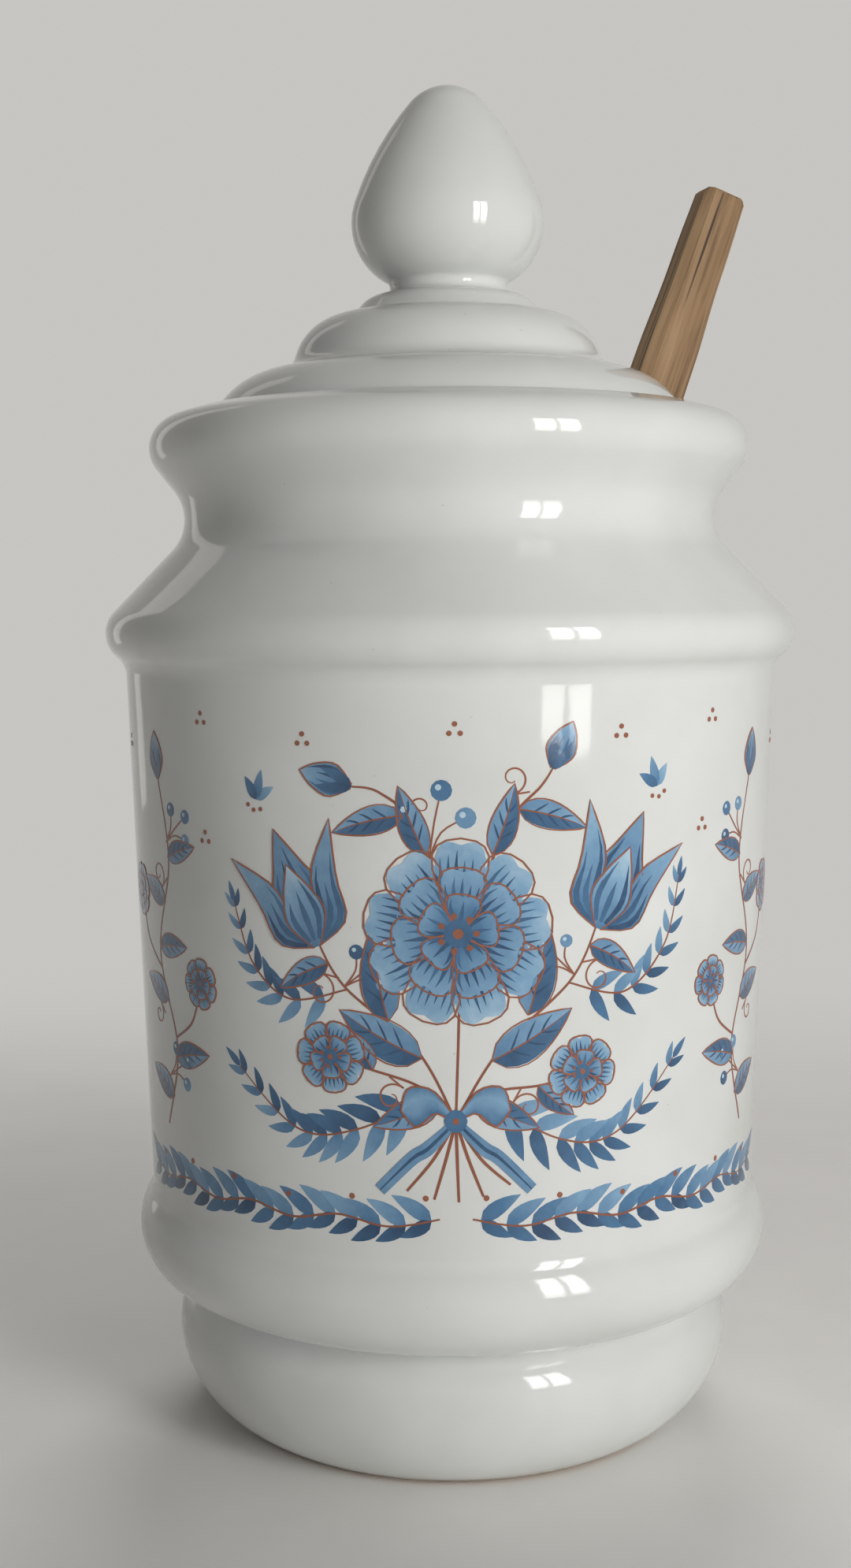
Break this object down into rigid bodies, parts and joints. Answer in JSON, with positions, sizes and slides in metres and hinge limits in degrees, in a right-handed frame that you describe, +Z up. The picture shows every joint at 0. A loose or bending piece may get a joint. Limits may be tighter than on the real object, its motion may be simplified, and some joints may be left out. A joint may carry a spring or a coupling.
{
  "type": "lidded olive jar",
  "caption": "Glazed earthenware olive jar with beaded body, rolled rim, notched lift-off lid with an acorn knob, and a wooden ladle that stands in it through the notch.",
  "frame": {"origin": "on the jar's axis, at the foot ring the jar stands on", "axes": "+Z up along the jar's axis, front towards -Y, the ladle leans out on the +X side"},
  "size_m": [0.14, 0.14, 0.2702],
  "materials": {
    "jar_glaze": "gloss",
    "lid_glaze": "gloss",
    "ladle_wood": "bare, dry",
    "paint_blue": "gloss",
    "paint_brown": "gloss"
  },
  "bodies": {
    "jar": {"jar": "jar_glaze"},
    "lid": {"lid": "lid_glaze"},
    "ladle": {"ladle": "ladle_wood"}
  },
  "joints": [
    {"name": "lid_lift", "type": "slide", "parent": "jar", "child": "lid", "axis": [0, 0, 1], "range_m": [0, 0.12]},
    {"name": "ladle_slide", "type": "slide", "parent": "jar", "child": "ladle", "axis": [0.3304, 0.0885, 0.9397], "range_m": [0, 0.13]}
  ]
}
